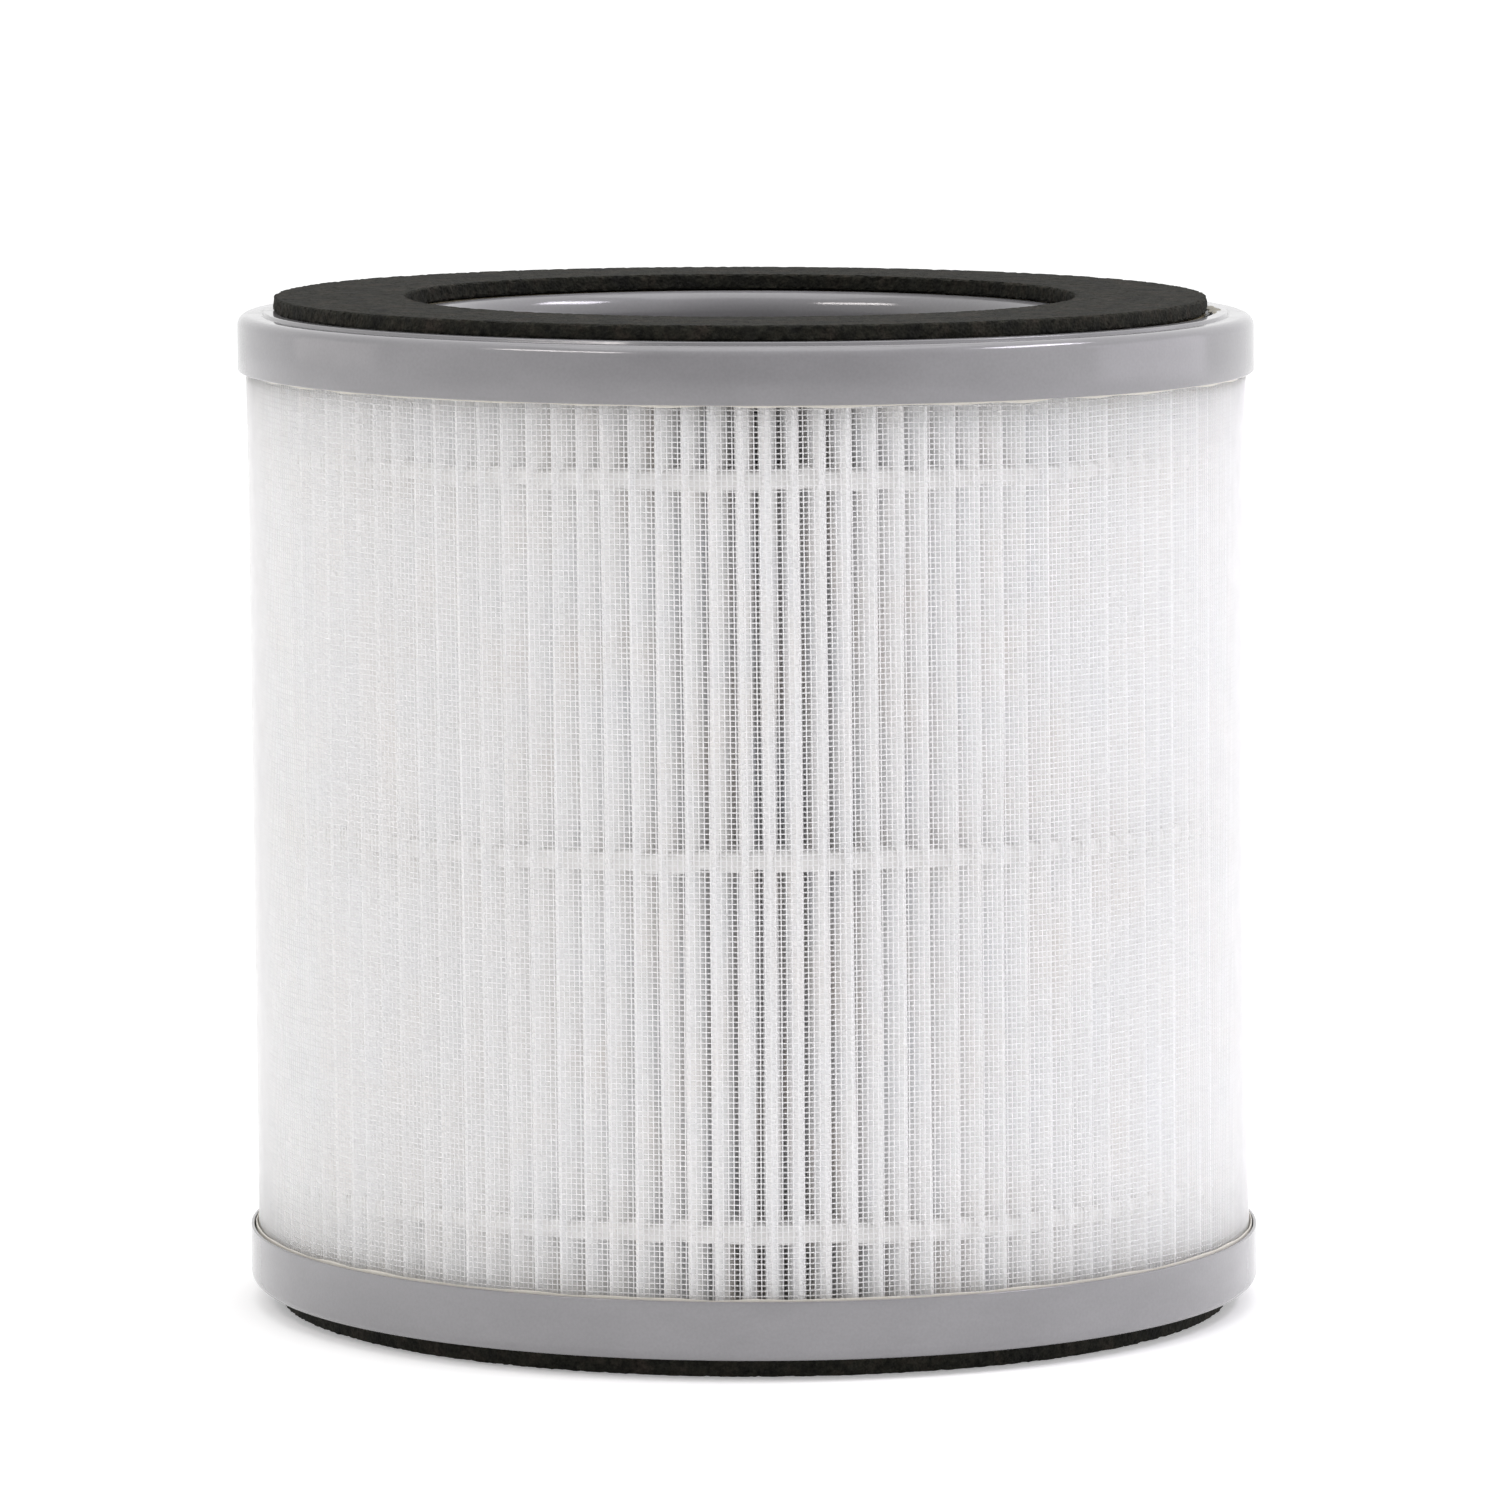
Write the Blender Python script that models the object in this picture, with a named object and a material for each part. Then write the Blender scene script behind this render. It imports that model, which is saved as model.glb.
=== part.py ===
"""Round air purifier filter cartridge, as an assembly of closed solids.

Metres, +Z up. The origin is the centre of the lower foam gasket's face, so the
cartridge stands on z = 0 and its axis is the Z axis.
"""

import math

import bmesh
import bpy

# Driving dimensions.
TOTAL_HEIGHT = 0.1758
CAP_RADIUS = 0.0882
CAP_HEIGHT = 0.0102
BORE_RADIUS = 0.0550
NET_RADIUS = 0.0868
PLEAT_COUNT = 119
PLEAT_TIP_RADIUS = 0.0851
PLEAT_ROOT_RADIUS = 0.0625
CORE_RADIUS = 0.0568
TOP_GASKET_RADIUS = 0.0810
BOTTOM_GASKET_RADIUS = 0.0827
GASKET_HOLE_RADIUS = 0.0582
TOP_GASKET_STANDS = 0.0026
BOTTOM_GASKET_STANDS = 0.0034

# Wall sizes of the end caps.
SKIRT_WALL = 0.0006
PLATE_THICKNESS = 0.0021
RIM_ROUNDING = 0.0026
BORE_ROUNDING = 0.0022
COLLAR_WALL = 0.0012
COLLAR_DEPTH = 0.0059
SEAT_DEPTH = 0.0009

# Small sizes that several pieces share.
GAP = 0.0003
TAPE_THICKNESS = 0.0002
FOAM_EDGE = 0.0004
NET_THICKNESS = 0.0003
POTTING_THICKNESS = 0.0025
POTTING_LIP_STANDS = 0.0005
POTTING_LIP_WALL = 0.0002
PAPER_RADIAL_THICKNESS = 0.0060
BEAD_THICKNESS = 0.0004
BEAD_HEIGHT = 0.0030
BEAD_MIDDLE = 0.0876
BEAD_SPACING = 0.0625
CARBON_THICKNESS = 0.0032
CORE_WALL = 0.0014
CORE_COLUMNS = 16
CORE_ROWS = 5
CORE_RIB_WIDTH = 0.0060
CORE_RING_HEIGHT = 0.0060
SEAM_STRIP_THICKNESS = 0.0006
SEAM_STRIP_INNER = 0.0745
SEAM_STRIP_OUTER = 0.0835
NET_SEAM_WIDTH = 0.0060

# Every turned piece has this many sides, lined up, so that gaps stay even.
SIDES = 48
ARC_STEPS = 4

# Heights that follow from the driving dimensions.
LOWER_FACE = BOTTOM_GASKET_STANDS
UPPER_FACE = TOTAL_HEIGHT - TOP_GASKET_STANDS
POTTING_START = PLATE_THICKNESS + GAP
MEDIA_START = POTTING_START + POTTING_THICKNESS + GAP
MEDIA_BOTTOM = LOWER_FACE + MEDIA_START
MEDIA_TOP = UPPER_FACE - MEDIA_START

# Radii that follow from the driving dimensions.
SKIRT_INNER = CAP_RADIUS - SKIRT_WALL
COLLAR_OUTER = BORE_RADIUS + COLLAR_WALL
NET_INNER = NET_RADIUS - NET_THICKNESS
BEAD_RADIUS = NET_INNER - GAP
CORE_INNER = CORE_RADIUS - CORE_WALL
INNER_NET_INNER = CORE_RADIUS + GAP
CARBON_INNER = INNER_NET_INNER + NET_THICKNESS + GAP
OUTER_CARBON_NET_INNER = CARBON_INNER + CARBON_THICKNESS + GAP


def clear_scene():
    """Remove whatever the file holds."""
    for item in list(bpy.data.objects):
        bpy.data.objects.remove(item, do_unlink=True)


def make_material(name, colour, roughness, metallic=0.0):
    """A Principled material in one colour."""
    material = bpy.data.materials.new(name)
    material.use_nodes = True
    shader = material.node_tree.nodes["Principled BSDF"]
    shader.inputs["Base Color"].default_value = (*colour, 1.0)
    shader.inputs["Roughness"].default_value = roughness
    shader.inputs["Metallic"].default_value = metallic
    return material


def add_object(name, mesh, material):
    """Put a mesh into the scene as one named sub-part."""
    item = bpy.data.objects.new(name, mesh)
    bpy.context.scene.collection.objects.link(item)
    mesh.materials.append(material)


def mesh_from(build, name):
    """Run a bmesh builder and store its result."""
    work = bmesh.new()
    build(work)
    bmesh.ops.recalc_face_normals(work, faces=work.faces)
    mesh = bpy.data.meshes.new(name)
    work.to_mesh(mesh)
    work.free()
    return mesh


def smooth(mesh, angle=35.0):
    """Shade round walls smooth and keep the edges crisp."""
    mesh.shade_smooth()
    mesh.set_sharp_from_angle(angle=math.radians(angle))


def arc(centre_r, centre_z, radius, start, end):
    """Profile points (r, z) on an arc; angles are in degrees."""
    points = []
    for step in range(ARC_STEPS + 1):
        angle = math.radians(start + (end - start) * step / ARC_STEPS)
        r = centre_r + radius * math.cos(angle)
        z = centre_z + radius * math.sin(angle)
        points.append((r, z))
    return points


def turned(name, profile, material):
    """A closed (r, z) profile turned about the Z axis."""

    def build(work):
        rings = []
        for side in range(SIDES):
            angle = 2 * math.pi * side / SIDES
            ring = [
                work.verts.new((r * math.cos(angle), r * math.sin(angle), z))
                for r, z in profile
            ]
            rings.append(ring)
        for side in range(SIDES):
            here = rings[side]
            there = rings[(side + 1) % SIDES]
            for i in range(len(profile)):
                j = (i + 1) % len(profile)
                work.faces.new((here[i], here[j], there[j], there[i]))

    mesh = mesh_from(build, name)
    smooth(mesh)
    add_object(name, mesh, material)


def tube(name, inner, outer, low, high, material):
    """A plain turned ring with square edges."""
    profile = [(outer, high), (outer, low), (inner, low), (inner, high)]
    turned(name, profile, material)


def placed(profile, upside_down):
    """Move a profile measured inwards from a cap's outer face to its own end."""
    if upside_down:
        return [(r, UPPER_FACE - depth) for r, depth in profile]
    return [(r, LOWER_FACE + depth) for r, depth in profile]


def end_cap_profile(gasket_radius):
    """Skirt, rounded rim, gasket seat, rounded bore edge and inner collar."""
    seat_radius = gasket_radius + GAP
    rim = arc(CAP_RADIUS - RIM_ROUNDING, RIM_ROUNDING, RIM_ROUNDING, 0, -90)
    bore_edge = arc(
        BORE_RADIUS + BORE_ROUNDING, SEAT_DEPTH + BORE_ROUNDING, BORE_ROUNDING, -90, -180
    )
    return [
        (CAP_RADIUS, CAP_HEIGHT),
        *rim,
        (seat_radius, 0.0),
        (seat_radius, SEAT_DEPTH),
        *bore_edge,
        (BORE_RADIUS, COLLAR_DEPTH),
        (COLLAR_OUTER, COLLAR_DEPTH),
        (COLLAR_OUTER, PLATE_THICKNESS),
        (SKIRT_INNER, PLATE_THICKNESS),
        (SKIRT_INNER, CAP_HEIGHT),
    ]


def potting_profile():
    """Glue disc on the cap's plate, with the thin lip that shows past the skirt."""
    outer = SKIRT_INNER - GAP
    inner = COLLAR_OUTER + GAP
    floor = POTTING_START + POTTING_THICKNESS
    lip_end = CAP_HEIGHT + POTTING_LIP_STANDS
    return [
        (outer, POTTING_START),
        (inner, POTTING_START),
        (inner, floor),
        (outer - POTTING_LIP_WALL, floor),
        (outer - POTTING_LIP_WALL, lip_end),
        (outer, lip_end),
    ]


def gasket_profile(radius, low, high):
    """Foam ring with slightly broken edges."""
    return [
        (radius, high - FOAM_EDGE),
        (radius, low + FOAM_EDGE),
        (radius - FOAM_EDGE, low),
        (GASKET_HOLE_RADIUS, low),
        (GASKET_HOLE_RADIUS, high),
        (radius - FOAM_EDGE, high),
    ]


def make_end(place, upside_down, gasket_radius, stands, materials):
    """End cap, its glue disc, and the foam ring with its adhesive."""
    turned(
        f"{place}_end_cap",
        placed(end_cap_profile(gasket_radius), upside_down),
        materials["cap"],
    )
    turned(f"{place}_potting", placed(potting_profile(), upside_down), materials["glue"])
    tape_outside = SEAT_DEPTH - GAP - TAPE_THICKNESS
    tape_inside = SEAT_DEPTH - GAP
    tape_outer = gasket_radius - 2 * GAP
    tape_inner = GASKET_HOLE_RADIUS + 2 * GAP
    tape = [
        (tape_outer, tape_inside),
        (tape_outer, tape_outside),
        (tape_inner, tape_outside),
        (tape_inner, tape_inside),
    ]
    turned(f"{place}_gasket_tape", placed(tape, upside_down), materials["tape"])
    foam = gasket_profile(gasket_radius, -stands, tape_outside - GAP)
    turned(f"{place}_foam_gasket", placed(foam, upside_down), materials["foam"])


def make_pleated_media(material):
    """One closed band of paper, folded in and out round the axis.

    A fold's tip is at the very front. The count is odd, so a gap is at the very rear.
    """
    outer_root = PLEAT_ROOT_RADIUS + PAPER_RADIAL_THICKNESS
    inner_tip = PLEAT_TIP_RADIUS - PAPER_RADIAL_THICKNESS
    folds = 2 * PLEAT_COUNT

    def build(work):
        corners = []
        for fold in range(folds):
            angle = math.pi * fold / PLEAT_COUNT - math.pi / 2
            is_tip = fold % 2 == 0
            outside = PLEAT_TIP_RADIUS if is_tip else outer_root
            inside = inner_tip if is_tip else PLEAT_ROOT_RADIUS
            corner = [
                work.verts.new((r * math.cos(angle), r * math.sin(angle), z))
                for z in (MEDIA_BOTTOM, MEDIA_TOP)
                for r in (outside, inside)
            ]
            corners.append(corner)
        for fold in range(folds):
            out_low, in_low, out_high, in_high = corners[fold]
            out_low2, in_low2, out_high2, in_high2 = corners[(fold + 1) % folds]
            work.faces.new((out_low, out_low2, out_high2, out_high))
            work.faces.new((in_low, in_high, in_high2, in_low2))
            work.faces.new((out_low, in_low, in_low2, out_low2))
            work.faces.new((out_high, out_high2, in_high2, in_high))

    add_object("pleated_media", mesh_from(build, "pleated_media"), material)


def block(name, centre, size, material):
    """An upright rectangular strip."""

    def build(work):
        bmesh.ops.create_cube(work, size=1.0)
        bmesh.ops.scale(work, vec=size, verts=work.verts)
        bmesh.ops.translate(work, vec=centre, verts=work.verts)

    add_object(name, mesh_from(build, name), material)


def make_media_seam_strip(material):
    """Strip in the rearmost outer fold, over the joint of the paper's two ends."""
    width = SEAM_STRIP_OUTER - SEAM_STRIP_INNER
    middle = (SEAM_STRIP_INNER + SEAM_STRIP_OUTER) / 2
    centre = (0.0, middle, (MEDIA_BOTTOM + MEDIA_TOP) / 2)
    size = (SEAM_STRIP_THICKNESS, width, MEDIA_TOP - MEDIA_BOTTOM)
    block("media_seam_strip", centre, size, material)


def make_net_seam(material):
    """Welded overlap of the net sleeve, on its rear."""
    low = LOWER_FACE + CAP_HEIGHT + POTTING_LIP_STANDS + GAP
    high = UPPER_FACE - CAP_HEIGHT - POTTING_LIP_STANDS - GAP
    centre = (0.0, NET_RADIUS + GAP + NET_THICKNESS / 2, (low + high) / 2)
    block("outer_net_seam", centre, (NET_SEAM_WIDTH, NET_THICKNESS, high - low), material)


def make_beads(side, radius, material):
    """Three glue beads, one ring each, on one face of the folded paper."""
    for step, place in ((1, "upper"), (0, "middle"), (-1, "lower")):
        centre = BEAD_MIDDLE + step * BEAD_SPACING
        low = centre - BEAD_HEIGHT / 2
        high = centre + BEAD_HEIGHT / 2
        name = f"{side}_glue_bead_{place}"
        tube(name, radius - BEAD_THICKNESS, radius, low, high, material)


def make_core_grid(material):
    """Lattice tube with CORE_COLUMNS by CORE_ROWS windows."""
    low = LOWER_FACE + COLLAR_DEPTH + GAP
    high = UPPER_FACE - COLLAR_DEPTH - GAP
    row_pitch = (high - low - CORE_RING_HEIGHT) / CORE_ROWS
    rib_angle = CORE_RIB_WIDTH / CORE_RADIUS
    angles = []
    for column in range(CORE_COLUMNS):
        start = 2 * math.pi * column / CORE_COLUMNS - rib_angle / 2
        angles += [start, start + rib_angle]
    heights = []
    for row in range(CORE_ROWS + 1):
        start = low + row * row_pitch
        heights += [start, start + CORE_RING_HEIGHT]
    across = len(angles)
    top = len(heights) - 1

    def is_window(column, row):
        return column % 2 == 1 and row % 2 == 1

    def build(work):
        grid = [
            [
                [
                    work.verts.new((r * math.cos(angle), r * math.sin(angle), z))
                    for z in heights
                ]
                for angle in angles
            ]
            for r in (CORE_INNER, CORE_RADIUS)
        ]
        inner, outer = grid
        for i in range(across):
            j = (i + 1) % across
            for k in range(top):
                if is_window(i, k):
                    work.faces.new((inner[i][k], inner[j][k], outer[j][k], outer[i][k]))
                    work.faces.new(
                        (inner[i][k + 1], outer[i][k + 1], outer[j][k + 1], inner[j][k + 1])
                    )
                    work.faces.new(
                        (inner[i][k], outer[i][k], outer[i][k + 1], inner[i][k + 1])
                    )
                    work.faces.new(
                        (inner[j][k], inner[j][k + 1], outer[j][k + 1], outer[j][k])
                    )
                else:
                    work.faces.new(
                        (outer[i][k], outer[j][k], outer[j][k + 1], outer[i][k + 1])
                    )
                    work.faces.new(
                        (inner[i][k], inner[i][k + 1], inner[j][k + 1], inner[j][k])
                    )
            work.faces.new((inner[i][0], inner[j][0], outer[j][0], outer[i][0]))
            work.faces.new((inner[i][top], outer[i][top], outer[j][top], inner[j][top]))

    mesh = mesh_from(build, "core_grid")
    smooth(mesh)
    add_object("core_grid", mesh, material)


def make_carbon_layer(materials):
    """Ring of carbon granules between two nets."""
    nets = (
        ("carbon_inner_net", INNER_NET_INNER),
        ("carbon_outer_net", OUTER_CARBON_NET_INNER),
    )
    for name, inner in nets:
        tube(name, inner, inner + NET_THICKNESS, MEDIA_BOTTOM, MEDIA_TOP, materials["mesh"])
    outer = CARBON_INNER + CARBON_THICKNESS
    tube("carbon_bed", CARBON_INNER, outer, MEDIA_BOTTOM, MEDIA_TOP, materials["carbon"])


def main():
    clear_scene()
    materials = {
        "cap": make_material("cap_plastic", (0.26, 0.27, 0.29), 0.38),
        "foam": make_material("gasket_foam", (0.012, 0.012, 0.013), 0.95),
        "tape": make_material("adhesive_tape", (0.30, 0.26, 0.17), 0.5),
        "glue": make_material("hot_melt", (0.78, 0.75, 0.66), 0.35),
        "paper": make_material("filter_paper", (0.83, 0.84, 0.86), 0.9),
        "net": make_material("white_net", (0.86, 0.87, 0.88), 0.55),
        "mesh": make_material("black_net", (0.05, 0.05, 0.055), 0.6),
        "carbon": make_material("carbon_granules", (0.02, 0.02, 0.02), 0.85),
        "core": make_material("core_plastic", (0.20, 0.21, 0.23), 0.45),
    }
    make_end("bottom", False, BOTTOM_GASKET_RADIUS, BOTTOM_GASKET_STANDS, materials)
    make_end("top", True, TOP_GASKET_RADIUS, TOP_GASKET_STANDS, materials)
    make_pleated_media(materials["paper"])
    make_media_seam_strip(materials["paper"])
    make_beads("outer", BEAD_RADIUS, materials["glue"])
    make_beads("inner", PLEAT_ROOT_RADIUS - GAP, materials["glue"])
    tube("outer_net_sleeve", NET_INNER, NET_RADIUS, MEDIA_BOTTOM, MEDIA_TOP, materials["net"])
    make_net_seam(materials["net"])
    make_carbon_layer(materials)
    make_core_grid(materials["core"])


main()
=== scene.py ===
"""Looks of the round air purifier filter cartridge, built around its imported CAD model.

Metres, +Z up. The cartridge stands on z = 0 and turns about the Z axis. Its rear, with
the net's seam, is at +Y. Radii and heights are read from the CAD nodes.
"""

import math

import bmesh
import bpy
import numpy as np
from mathutils import Matrix, Vector, noise


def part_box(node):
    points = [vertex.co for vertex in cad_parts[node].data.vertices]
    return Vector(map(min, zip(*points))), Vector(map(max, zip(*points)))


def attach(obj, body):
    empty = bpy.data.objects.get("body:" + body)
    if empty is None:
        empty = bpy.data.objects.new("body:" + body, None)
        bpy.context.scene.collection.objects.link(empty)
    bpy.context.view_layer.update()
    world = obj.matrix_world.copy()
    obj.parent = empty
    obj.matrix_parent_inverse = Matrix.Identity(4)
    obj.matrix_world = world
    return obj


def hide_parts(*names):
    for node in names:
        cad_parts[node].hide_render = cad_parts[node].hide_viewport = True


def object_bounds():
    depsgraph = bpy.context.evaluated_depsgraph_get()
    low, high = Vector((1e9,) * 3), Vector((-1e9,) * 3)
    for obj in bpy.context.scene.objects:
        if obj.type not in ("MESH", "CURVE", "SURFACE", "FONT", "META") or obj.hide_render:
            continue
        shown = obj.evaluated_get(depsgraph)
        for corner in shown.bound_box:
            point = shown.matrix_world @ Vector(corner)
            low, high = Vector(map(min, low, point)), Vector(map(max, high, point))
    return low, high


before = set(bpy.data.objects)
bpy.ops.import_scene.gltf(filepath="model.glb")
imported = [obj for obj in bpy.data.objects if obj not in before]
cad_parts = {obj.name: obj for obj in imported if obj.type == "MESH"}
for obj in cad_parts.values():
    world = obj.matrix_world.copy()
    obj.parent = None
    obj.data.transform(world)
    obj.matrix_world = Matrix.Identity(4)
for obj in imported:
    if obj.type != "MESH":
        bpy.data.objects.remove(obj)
cad_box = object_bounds()
MM = 0.001
TURN = 2 * math.pi

# Pitch, width and thickness of the nets' threads, and a thread's corners in widths.
NET_THREAD = (0.90 * MM, 0.21 * MM, 0.16 * MM)
CARBON_NET_THREAD = (1.60 * MM, 0.45 * MM, 0.14 * MM)
THREAD_EDGES = np.array([(1, 0), (0, 1), (-1, 0), (0, -1)]) * 0.5

# Folds of the paper.
PLEATS = 119
FIRST_PLEAT = math.radians(-90.85)
PLEAT_ROOT_ROUNDING = 0.50 * MM
PAPER_THICKNESS = 0.40 * MM
PLEAT_LEAN = math.radians(0.75)

# Half of one fold's section, in mm: depth behind the tip, and distance from the middle.
FOLD_SECTION = (
    (0.00, 0.00),
    (0.04, 0.14),
    (0.20, 0.28),
    (0.70, 0.46),
    (1.60, 0.71),
    (3.20, 1.00),
    (5.50, 1.26),
    (9.00, 1.42),
    (14.00, 1.38),
)

# Walls of the end caps, as in the CAD model.
SKIRT_WALL = 0.6 * MM
PLATE_THICKNESS = 2.1 * MM
COLLAR_WALL = 1.2 * MM
COLLAR_DEPTH = 5.9 * MM
SEAT_DEPTH = 0.9 * MM

# Added to a seed, so that the two ends differ.
END_SEED = {"top": 0, "bottom": 1}

# The core's lattice of windows; each side of a window has the same number of steps.
CORE_COLUMNS = 16
CORE_ROWS = 5
CORE_RIB = 6.0 * MM
CELL_SIDE_STEPS = 8

# The hand-glued cartridge leans to the left as it rises, and its caps stay level.
LEAN = 0.0095
TOP_GASKET_SHIFT = -1.0 * MM

# How far each ring of glue ran down before it set, and its seed in two parts.
BEAD_SAG = {"upper": 0.0, "middle": 0.9 * MM, "lower": 0.8 * MM}
BEAD_SEED = {"outer": 70, "inner": 80, "upper": 1, "middle": 2, "lower": 3}

# Camera, found from the proportions of the real thing as it is seen.
CAMERA_DISTANCE = 1.630
CAMERA_HEIGHT = 0.2787
CAMERA_PITCH = 6.389
CAMERA_LENS = 225.4


# ---------------------------------------------------------------- frame helpers


def radii(node):
    """Smallest and largest distance of a CAD node's corners from the axis."""
    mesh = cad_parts[node].data
    away = [math.hypot(v.co.x, v.co.y) for v in mesh.vertices]
    return min(away), max(away)


def heights(node):
    """Lowest and highest z of a CAD node."""
    low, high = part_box(node)
    return low.z, high.z


# ---------------------------------------------------------------- mesh helpers


def leaning(points):
    """The same points, moved sideways the more the further they are from mid-height."""
    middle = (cad_box[0].z + cad_box[1].z) / 2
    moved = points.copy()
    moved[:, 0] -= LEAN * (points[:, 2] - middle)
    return moved


def about_axis(r, angle, z):
    """Points at distance r from the Z axis and height z, at an angle about the axis."""
    return np.stack(np.broadcast_arrays(r * np.cos(angle), r * np.sin(angle), z), axis=-1)


def outward_faces(points, faces):
    """The same faces, turned so that the volume they enclose counts as positive."""
    a, b, c, d = (points[faces[:, i]] for i in range(4))
    volume = (a * (np.cross(b, c) + np.cross(c, d))).sum()
    return faces[:, ::-1] if volume < 0 else faces


def add_piece(name, points, faces, material, nodes=(), sharp=35.0):
    """Store a closed quad mesh, facing outwards, as a piece that rides on the cartridge."""
    points = leaning(np.asarray(points, float).reshape(-1, 3))
    faces = outward_faces(points, np.asarray(faces, int).reshape(-1, 4))
    mesh = bpy.data.meshes.new(name)
    mesh.from_pydata(points.tolist(), [], faces.tolist())
    mesh.shade_smooth()
    mesh.set_sharp_from_angle(angle=math.radians(sharp))
    mesh.materials.append(material)
    piece = bpy.data.objects.new(name, mesh)
    bpy.context.scene.collection.objects.link(piece)
    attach(piece, "root")
    if nodes:
        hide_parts(*nodes)
    return piece


def grid_faces(across, along, close_along):
    """Quads of a point grid that closes on itself across, and along if asked."""
    i = np.arange(across)
    k = np.arange(along if close_along else along - 1)
    i, k = np.meshgrid(i, k, indexing="ij")
    j, m = (i + 1) % across, (k + 1) % along
    return np.stack(
        [i * along + k, j * along + k, j * along + m, i * along + m], axis=-1
    ).reshape(-1, 4)


def band_faces(first, second, count):
    """Quads between two loops of count points, given the index each loop starts at."""
    k = np.arange(count)
    m = (k + 1) % count
    return np.stack([first + k, first + m, second + m, second + k], axis=-1)


def section_corners(inner, outer, low, high, inner_rounding, outer_rounding):
    """A rectangle's corners (r, z, rounding)."""
    return [
        (outer, high, outer_rounding),
        (outer, low, outer_rounding),
        (inner, low, inner_rounding),
        (inner, high, inner_rounding),
    ]


def filleted(corners, steps):
    """A closed outline whose corners (r, z, rounding) are rounded off."""
    outline = []
    count = len(corners)
    for i in range(count):
        corner = np.array(corners[i][:2])
        back = np.array(corners[i - 1][:2]) - corner
        onward = np.array(corners[(i + 1) % count][:2]) - corner
        back_length, onward_length = np.linalg.norm(back), np.linalg.norm(onward)
        back, onward = back / back_length, onward / onward_length
        half = math.acos(np.clip(back @ onward, -1, 1)) / 2
        cut = min(corners[i][2] / math.tan(half), 0.49 * back_length, 0.49 * onward_length)
        if cut < 1e-6:
            outline.append(corner)
            continue
        radius = cut * math.tan(half)
        middle = back + onward
        centre = corner + middle / np.linalg.norm(middle) * radius / math.sin(half)
        start, end = corner + back * cut - centre, corner + onward * cut - centre
        first = math.atan2(start[1], start[0])
        sweep = math.atan2(end[1], end[0]) - first
        sweep = (sweep + math.pi) % TURN - math.pi
        for step in range(steps + 1):
            angle = first + sweep * step / steps
            outline.append(centre + radius * np.array([math.cos(angle), math.sin(angle)]))
    return np.array(outline)


def subdivided(outline, longest):
    """The same closed outline with its long edges cut into shorter ones."""
    points = []
    for i in range(len(outline)):
        start, end = outline[i], outline[(i + 1) % len(outline)]
        parts = max(1, math.ceil(np.linalg.norm(end - start) / longest))
        points += [start + (end - start) * part / parts for part in range(parts)]
    return np.array(points)


def turned_points(outline, sides, change):
    """Point grid of an (r, z) outline turned about the axis; change(angle, r, z) bends it."""
    angle = np.arange(sides)[:, None] * TURN / sides
    r = np.broadcast_to(outline[:, 0], (sides, len(outline)))
    z = np.broadcast_to(outline[:, 1], (sides, len(outline)))
    r, z = change(angle, r, z)
    return about_axis(r, angle, z)


def turned(name, outline, sides, material, nodes, change, shift=(0, 0, 0)):
    """A turned piece with a closed outline."""
    points = turned_points(outline, sides, change) + np.array(shift)
    faces = grid_faces(sides, len(outline), True)
    return add_piece(name, points, faces, material, nodes)


def waves(seed, count, highest):
    """A smooth random function of angle, about 1 high: whole waves up to highest."""
    draw = np.random.RandomState(seed)
    turns = draw.randint(1, highest + 1, count)
    phases = draw.uniform(0, TURN, count)
    sizes = draw.uniform(0.4, 1.0, count)
    sizes = sizes / np.sqrt((sizes**2).sum() / 2)

    def at(angle):
        total = 0.0
        for turn, phase, size in zip(turns, phases, sizes):
            total = total + size * np.sin(turn * angle + phase)
        return total

    return at


# ---------------------------------------------------------------- materials


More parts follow.
